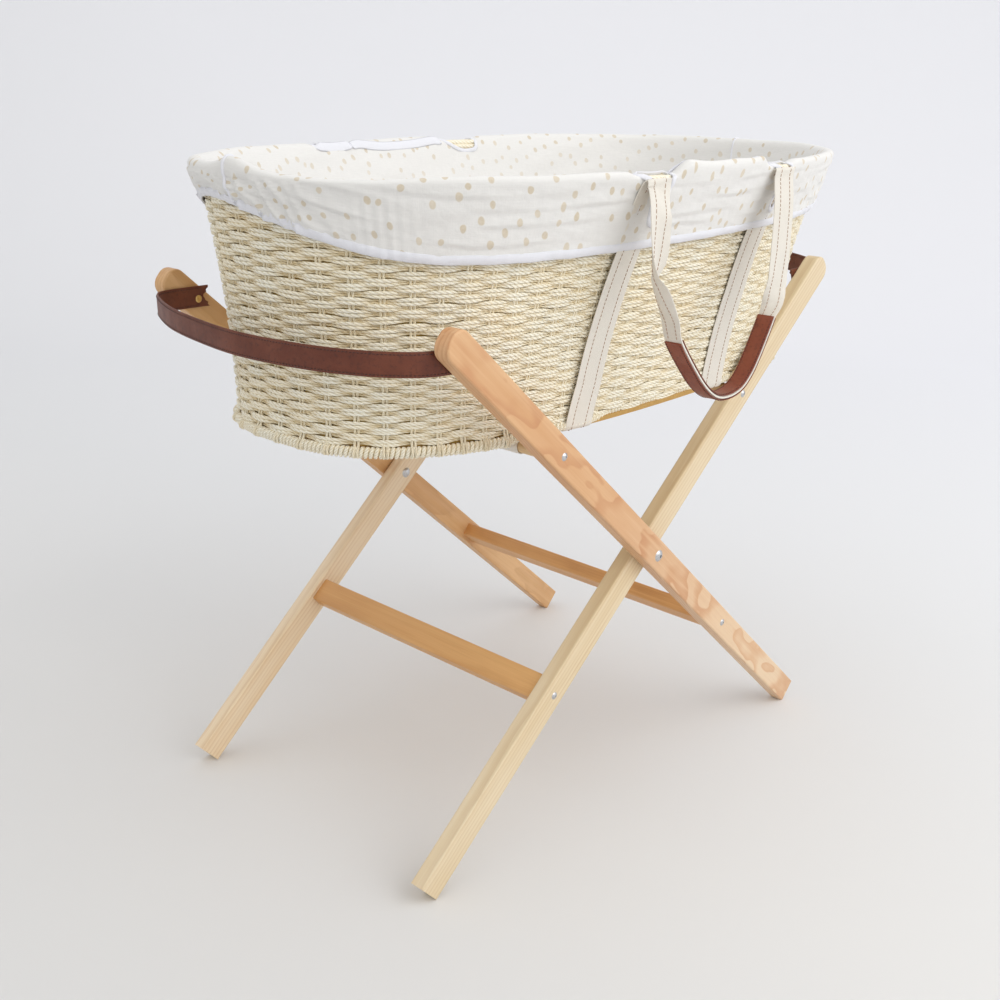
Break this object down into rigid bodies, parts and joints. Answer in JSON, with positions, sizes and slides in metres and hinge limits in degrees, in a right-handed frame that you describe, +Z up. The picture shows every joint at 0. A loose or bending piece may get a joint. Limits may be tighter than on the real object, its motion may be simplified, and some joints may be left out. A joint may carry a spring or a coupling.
{
  "type": "bassinet on folding stand",
  "caption": "Oval woven basket bassinet with cloth liner, webbing handles and mattress, resting on a crossed folding wooden stand.",
  "frame": {"origin": "on the floor, under the middle of the whole object's bounding box", "axes": "+X along the basket towards the end that the inner legs' tops hold; +Y to the far long side; +Z up"},
  "size_m": [0.8641, 0.5603, 0.73],
  "materials": {
    "timber": "pale pine, satin clear finish",
    "steel": "satin zinc",
    "brass_rivet": "polished",
    "copper_rivet": "copper coloured, polished",
    "strap_leather": "dark brown, semi-matt",
    "grip_leather": "chestnut brown outside, tan inside",
    "webbing": "cream cotton webbing with two brown stitch lines",
    "rope": "twisted natural fibre rope, woven",
    "board": "fibreboard",
    "liner_cloth": "white cotton with scattered tan dots",
    "binding": "white cotton binding",
    "pad_cover": "white cotton cover"
  },
  "bodies": {
    "outer_frame": {"leg_outer_near": "timber", "leg_outer_far": "timber", "lower_rail_outer": "timber", "upper_dowel_outer": "timber", "rail_screws_outer": "steel", "end_strap_left": "strap_leather", "strap_rivets_left": "brass_rivet", "pivot_bolts": "steel", "pivot_sleeves": "steel", "pivot_washers": "steel", "spreader_near": "webbing", "spreader_far": "webbing"},
    "inner_frame": {"leg_inner_near": "timber", "leg_inner_far": "timber", "lower_rail_inner": "timber", "upper_dowel_inner": "timber", "rail_screws_inner": "steel", "end_strap_right": "strap_leather", "strap_rivets_right": "copper_rivet"},
    "basket": {"base_board": "board", "foot_border": "rope", "basket_wall": "rope", "rim_border": "rope", "liner_bag": "liner_cloth", "liner_flap": "liner_cloth", "liner_hem": "binding", "mattress": "pad_cover", "carry_strap_left": "webbing", "carry_strap_right": "webbing"},
    "handle_near": {"handle_webbing_near": "webbing", "handle_grip_near": "grip_leather"},
    "handle_far": {"handle_webbing_far": "webbing", "handle_grip_far": "grip_leather"}
  },
  "joints": [
    {"name": "stand_fold", "type": "hinge", "parent": "outer_frame", "child": "inner_frame", "pos_m": [-0.017, 0, 0.31071], "axis": [0, -1, 0], "range_deg": [0, 88], "deforming": ["end_strap_right", "spreader_near", "spreader_far"]},
    {"name": "basket_lift", "type": "slide", "parent": "outer_frame", "child": "basket", "axis": [0, 0, 1], "range_m": [0, 1.11]},
    {"name": "handle_near_swing", "type": "hinge", "parent": "basket", "child": "handle_near", "pos_m": [0.0252, -0.26734, 0.729], "axis": [-0.9994, -0.0349, 0], "range_deg": [0, 180]},
    {"name": "handle_far_swing", "type": "hinge", "parent": "basket", "child": "handle_far", "pos_m": [0.0068, 0.25934, 0.729], "axis": [0.9994, 0.0349, 0], "range_deg": [0, 180]}
  ],
  "couplings": [
    {"joint": "basket_lift", "follows": "stand_fold", "m_per_rad": 0.72}
  ]
}
